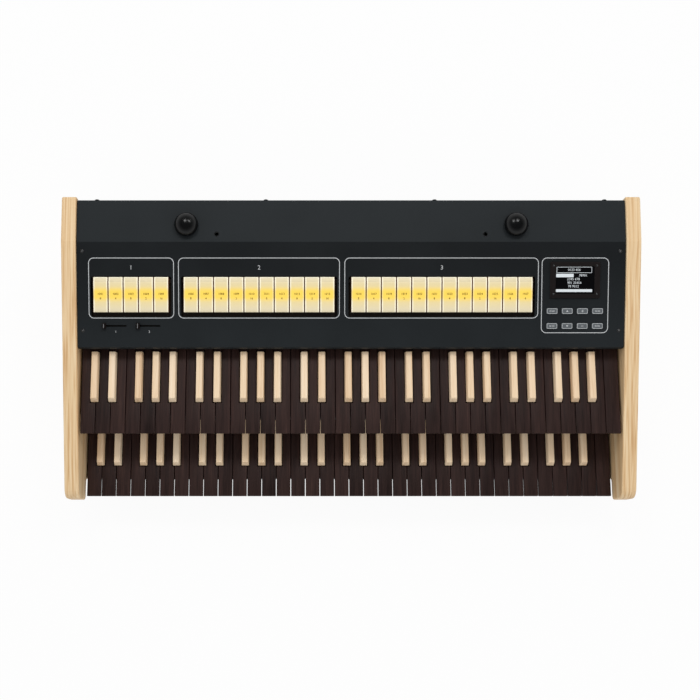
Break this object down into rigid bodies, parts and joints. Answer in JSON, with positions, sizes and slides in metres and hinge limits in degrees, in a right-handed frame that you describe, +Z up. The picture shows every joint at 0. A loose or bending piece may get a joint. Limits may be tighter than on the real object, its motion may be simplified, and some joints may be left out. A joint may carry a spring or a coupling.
{
  "type": "electronic organ",
  "caption": "Portable electronic organ with stepped manuals of wooden keys, rows of rocker tabs and a small screen, between pale wood side panels.",
  "frame": {"origin": "on the ground, in the middle of the organ's width and depth", "axes": "+X from the bass keys to the treble keys, +Y from the player to the rear, +Z up"},
  "size_m": [0.896, 0.46, 0.23],
  "materials": {
    "pale_wood": "satin lacquer",
    "charcoal_paint": "fine matt powder coat",
    "dark_wood_key": "oiled dark wood",
    "pale_wood_key": "satin pale wood",
    "cream_plastic": "translucent, lit from inside",
    "black_plastic": "gloss",
    "grey_plastic": "matt",
    "screen_glass": "clear over a black screen",
    "circuit_board": "lacquered",
    "bare_metal": "bare folded sheet",
    "steel_rod": "ground",
    "rubber_foot": "matt"
  },
  "bodies": {
    "case": {"side_panel_left": "pale_wood", "side_panel_right": "pale_wood", "bottom_tray": "charcoal_paint", "rear_panel": "charcoal_paint", "top_cover": "charcoal_paint", "upper_key_frame": "charcoal_paint", "lower_key_frame": "charcoal_paint", "upper_pivot_rod": "steel_rod", "display_bezel": "black_plastic", "display_module": "screen_glass", "panel_board": "circuit_board", "main_board": "circuit_board", "power_supply": "bare_metal", "power_inlet": "black_plastic", "socket_row": "black_plastic", "foot_front_left": "rubber_foot", "foot_front_right": "rubber_foot", "foot_rear_left": "rubber_foot", "foot_rear_right": "rubber_foot"},
    "key_c": {"key_c": "dark_wood_key"},
    "key_c_sharp": {"key_c_sharp": "pale_wood_key"},
    "key_d": {"key_d": "dark_wood_key"},
    "key_d_sharp": {"key_d_sharp": "pale_wood_key"},
    "key_e": {"key_e": "dark_wood_key"},
    "key_f": {"key_f": "dark_wood_key"},
    "key_f_sharp": {"key_f_sharp": "pale_wood_key"},
    "key_g": {"key_g": "dark_wood_key"},
    "key_g_sharp": {"key_g_sharp": "pale_wood_key"},
    "key_a": {"key_a": "dark_wood_key"},
    "key_a_sharp": {"key_a_sharp": "pale_wood_key"},
    "key_b": {"key_b": "dark_wood_key"},
    "upper_octave_1": {"upper_octave_1": "dark_wood_key"},
    "upper_octave_2": {"upper_octave_2": "dark_wood_key"},
    "upper_octave_4": {"upper_octave_4": "dark_wood_key"},
    "upper_octave_5": {"upper_octave_5": "dark_wood_key"},
    "lower_octave_1": {"lower_octave_1": "dark_wood_key"},
    "lower_octave_2": {"lower_octave_2": "dark_wood_key"},
    "lower_octave_3": {"lower_octave_3": "dark_wood_key"},
    "lower_octave_4": {"lower_octave_4": "dark_wood_key"},
    "lower_octave_5": {"lower_octave_5": "dark_wood_key"},
    "pedal_tab_1": {"pedal_tab_1": "cream_plastic"},
    "pedal_tab_2": {"pedal_tab_2": "cream_plastic"},
    "pedal_tab_3": {"pedal_tab_3": "cream_plastic"},
    "pedal_tab_4": {"pedal_tab_4": "cream_plastic"},
    "pedal_tab_5": {"pedal_tab_5": "cream_plastic"},
    "manual_1_tabs": {"manual_1_tabs": "cream_plastic"},
    "manual_2_tabs": {"manual_2_tabs": "cream_plastic"},
    "menu_button_1": {"menu_button_1": "grey_plastic"},
    "menu_button_2": {"menu_button_2": "grey_plastic"},
    "menu_button_3": {"menu_button_3": "grey_plastic"},
    "menu_button_4": {"menu_button_4": "grey_plastic"},
    "menu_button_5": {"menu_button_5": "grey_plastic"},
    "menu_button_6": {"menu_button_6": "grey_plastic"},
    "menu_button_7": {"menu_button_7": "grey_plastic"},
    "menu_button_8": {"menu_button_8": "grey_plastic"},
    "slider_cap_1": {"slider_cap_1": "black_plastic"},
    "slider_cap_2": {"slider_cap_2": "black_plastic"},
    "rest_knob_left": {"rest_knob_left": "black_plastic"},
    "rest_knob_right": {"rest_knob_right": "black_plastic"},
    "power_rocker": {"power_rocker": "black_plastic"}
  },
  "joints": [
    {"name": "press_key_c", "type": "hinge", "parent": "case", "child": "key_c", "pos_m": [-0.08651, 0.1055, 0.123], "axis": [1, 0, 0], "range_deg": [0, 2.4], "stiffness_Nm_per_rad": 1, "springref_deg": -16.04},
    {"name": "press_key_c_sharp", "type": "hinge", "parent": "case", "child": "key_c_sharp", "pos_m": [-0.0724, 0.1055, 0.123], "axis": [1, 0, 0], "range_deg": [0, 2.4], "stiffness_Nm_per_rad": 1, "springref_deg": -16.04},
    {"name": "press_key_d", "type": "hinge", "parent": "case", "child": "key_d", "pos_m": [-0.05855, 0.1055, 0.123], "axis": [1, 0, 0], "range_deg": [0, 2.4], "stiffness_Nm_per_rad": 1, "springref_deg": -16.04},
    {"name": "press_key_d_sharp", "type": "hinge", "parent": "case", "child": "key_d_sharp", "pos_m": [-0.0447, 0.1055, 0.123], "axis": [1, 0, 0], "range_deg": [0, 2.4], "stiffness_Nm_per_rad": 1, "springref_deg": -16.04},
    {"name": "press_key_e", "type": "hinge", "parent": "case", "child": "key_e", "pos_m": [-0.03079, 0.1055, 0.123], "axis": [1, 0, 0], "range_deg": [0, 2.4], "stiffness_Nm_per_rad": 1, "springref_deg": -16.04},
    {"name": "press_key_f", "type": "hinge", "parent": "case", "child": "key_f", "pos_m": [-0.01661, 0.1055, 0.123], "axis": [1, 0, 0], "range_deg": [0, 2.4], "stiffness_Nm_per_rad": 1, "springref_deg": -16.04},
    {"name": "press_key_f_sharp", "type": "hinge", "parent": "case", "child": "key_f_sharp", "pos_m": [-0.0031, 0.1055, 0.123], "axis": [1, 0, 0], "range_deg": [0, 2.4], "stiffness_Nm_per_rad": 1, "springref_deg": -16.04},
    {"name": "press_key_g", "type": "hinge", "parent": "case", "child": "key_g", "pos_m": [0.0102, 0.1055, 0.123], "axis": [1, 0, 0], "range_deg": [0, 2.4], "stiffness_Nm_per_rad": 1, "springref_deg": -16.04},
    {"name": "press_key_g_sharp", "type": "hinge", "parent": "case", "child": "key_g_sharp", "pos_m": [0.0235, 0.1055, 0.123], "axis": [1, 0, 0], "range_deg": [0, 2.4], "stiffness_Nm_per_rad": 1, "springref_deg": -16.04},
    {"name": "press_key_a", "type": "hinge", "parent": "case", "child": "key_a", "pos_m": [0.0368, 0.1055, 0.123], "axis": [1, 0, 0], "range_deg": [0, 2.4], "stiffness_Nm_per_rad": 1, "springref_deg": -16.04},
    {"name": "press_key_a_sharp", "type": "hinge", "parent": "case", "child": "key_a_sharp", "pos_m": [0.0501, 0.1055, 0.123], "axis": [1, 0, 0], "range_deg": [0, 2.4], "stiffness_Nm_per_rad": 1, "springref_deg": -16.04},
    {"name": "press_key_b", "type": "hinge", "parent": "case", "child": "key_b", "pos_m": [0.06361, 0.1055, 0.123], "axis": [1, 0, 0], "range_deg": [0, 2.4], "stiffness_Nm_per_rad": 1, "springref_deg": -16.04},
    {"name": "press_upper_octave_1", "type": "hinge", "parent": "case", "child": "upper_octave_1", "pos_m": [-0.34075, 0.1055, 0.123], "axis": [1, 0, 0], "range_deg": [0, 2.4], "stiffness_Nm_per_rad": 12, "springref_deg": -16.04},
    {"name": "press_upper_octave_2", "type": "hinge", "parent": "case", "child": "upper_octave_2", "pos_m": [-0.17625, 0.1055, 0.123], "axis": [1, 0, 0], "range_deg": [0, 2.4], "stiffness_Nm_per_rad": 12, "springref_deg": -16.04},
    {"name": "press_upper_octave_4", "type": "hinge", "parent": "case", "child": "upper_octave_4", "pos_m": [0.15275, 0.1055, 0.123], "axis": [1, 0, 0], "range_deg": [0, 2.4], "stiffness_Nm_per_rad": 12, "springref_deg": -16.04},
    {"name": "press_upper_octave_5", "type": "hinge", "parent": "case", "child": "upper_octave_5", "pos_m": [0.31725, 0.1055, 0.123], "axis": [1, 0, 0], "range_deg": [0, 2.4], "stiffness_Nm_per_rad": 12, "springref_deg": -16.04},
    {"name": "press_lower_octave_1", "type": "hinge", "parent": "case", "child": "lower_octave_1", "pos_m": [-0.34075, 0.012, 0.053], "axis": [1, 0, 0], "range_deg": [0, 2.4], "stiffness_Nm_per_rad": 12, "springref_deg": -16.04},
    {"name": "press_lower_octave_2", "type": "hinge", "parent": "case", "child": "lower_octave_2", "pos_m": [-0.17625, 0.012, 0.053], "axis": [1, 0, 0], "range_deg": [0, 2.4], "stiffness_Nm_per_rad": 12, "springref_deg": -16.04},
    {"name": "press_lower_octave_3", "type": "hinge", "parent": "case", "child": "lower_octave_3", "pos_m": [-0.01175, 0.012, 0.053], "axis": [1, 0, 0], "range_deg": [0, 2.4], "stiffness_Nm_per_rad": 12, "springref_deg": -16.04},
    {"name": "press_lower_octave_4", "type": "hinge", "parent": "case", "child": "lower_octave_4", "pos_m": [0.15275, 0.012, 0.053], "axis": [1, 0, 0], "range_deg": [0, 2.4], "stiffness_Nm_per_rad": 12, "springref_deg": -16.04},
    {"name": "press_lower_octave_5", "type": "hinge", "parent": "case", "child": "lower_octave_5", "pos_m": [0.31725, 0.012, 0.053], "axis": [1, 0, 0], "range_deg": [0, 2.4], "stiffness_Nm_per_rad": 12, "springref_deg": -16.04},
    {"name": "press_pedal_tab_1", "type": "hinge", "parent": "case", "child": "pedal_tab_1", "pos_m": [-0.3875, 0.10204, 0.18733], "axis": [1, 0, 0], "range_deg": [0, 4], "stiffness_Nm_per_rad": 0.5, "springref_deg": -5.73},
    {"name": "press_pedal_tab_2", "type": "hinge", "parent": "case", "child": "pedal_tab_2", "pos_m": [-0.36406, 0.10204, 0.18733], "axis": [1, 0, 0], "range_deg": [0, 4], "stiffness_Nm_per_rad": 0.5, "springref_deg": -5.73},
    {"name": "press_pedal_tab_3", "type": "hinge", "parent": "case", "child": "pedal_tab_3", "pos_m": [-0.3406, 0.10204, 0.18733], "axis": [1, 0, 0], "range_deg": [0, 4], "stiffness_Nm_per_rad": 0.5, "springref_deg": -5.73},
    {"name": "press_pedal_tab_4", "type": "hinge", "parent": "case", "child": "pedal_tab_4", "pos_m": [-0.31716, 0.10204, 0.18733], "axis": [1, 0, 0], "range_deg": [0, 4], "stiffness_Nm_per_rad": 0.5, "springref_deg": -5.73},
    {"name": "press_pedal_tab_5", "type": "hinge", "parent": "case", "child": "pedal_tab_5", "pos_m": [-0.2937, 0.10204, 0.18733], "axis": [1, 0, 0], "range_deg": [0, 4], "stiffness_Nm_per_rad": 0.5, "springref_deg": -5.73},
    {"name": "press_manual_1_tabs", "type": "hinge", "parent": "case", "child": "manual_1_tabs", "pos_m": [-0.1423, 0.10204, 0.18733], "axis": [1, 0, 0], "range_deg": [0, 4], "stiffness_Nm_per_rad": 5, "springref_deg": -5.73},
    {"name": "press_manual_2_tabs", "type": "hinge", "parent": "case", "child": "manual_2_tabs", "pos_m": [0.1405, 0.10204, 0.18733], "axis": [1, 0, 0], "range_deg": [0, 4], "stiffness_Nm_per_rad": 6, "springref_deg": -5.73},
    {"name": "press_menu_button_1", "type": "slide", "parent": "case", "child": "menu_button_1", "axis": [0, 0.2283, -0.9736], "range_m": [0, 0.0015], "stiffness_N_per_m": 600, "springref_m": -0.002},
    {"name": "press_menu_button_2", "type": "slide", "parent": "case", "child": "menu_button_2", "axis": [0, 0.2283, -0.9736], "range_m": [0, 0.0015], "stiffness_N_per_m": 600, "springref_m": -0.002},
    {"name": "press_menu_button_3", "type": "slide", "parent": "case", "child": "menu_button_3", "axis": [0, 0.2283, -0.9736], "range_m": [0, 0.0015], "stiffness_N_per_m": 600, "springref_m": -0.002},
    {"name": "press_menu_button_4", "type": "slide", "parent": "case", "child": "menu_button_4", "axis": [0, 0.2283, -0.9736], "range_m": [0, 0.0015], "stiffness_N_per_m": 600, "springref_m": -0.002},
    {"name": "press_menu_button_5", "type": "slide", "parent": "case", "child": "menu_button_5", "axis": [0, 0.2283, -0.9736], "range_m": [0, 0.0015], "stiffness_N_per_m": 600, "springref_m": -0.002},
    {"name": "press_menu_button_6", "type": "slide", "parent": "case", "child": "menu_button_6", "axis": [0, 0.2283, -0.9736], "range_m": [0, 0.0015], "stiffness_N_per_m": 600, "springref_m": -0.002},
    {"name": "press_menu_button_7", "type": "slide", "parent": "case", "child": "menu_button_7", "axis": [0, 0.2283, -0.9736], "range_m": [0, 0.0015], "stiffness_N_per_m": 600, "springref_m": -0.002},
    {"name": "press_menu_button_8", "type": "slide", "parent": "case", "child": "menu_button_8", "axis": [0, 0.2283, -0.9736], "range_m": [0, 0.0015], "stiffness_N_per_m": 600, "springref_m": -0.002},
    {"name": "slide_cap_1", "type": "slide", "parent": "case", "child": "slider_cap_1", "axis": [1, 0, 0], "range_m": [0, 0.032]},
    {"name": "slide_cap_2", "type": "slide", "parent": "case", "child": "slider_cap_2", "axis": [1, 0, 0], "range_m": [0, 0.032]},
    {"name": "turn_rest_knob_left", "type": "hinge", "parent": "case", "child": "rest_knob_left", "pos_m": [-0.2546, 0.185, 0.21008], "axis": [0, -0.0649, 0.9979], "continuous": true},
    {"name": "turn_rest_knob_right", "type": "hinge", "parent": "case", "child": "rest_knob_right", "pos_m": [0.2546, 0.185, 0.21008], "axis": [0, -0.0649, 0.9979], "continuous": true},
    {"name": "tip_power_rocker", "type": "hinge", "parent": "case", "child": "power_rocker", "pos_m": [0.3445, 0.2197, 0.045], "axis": [1, 0, 0], "range_deg": [0, 14]}
  ]
}
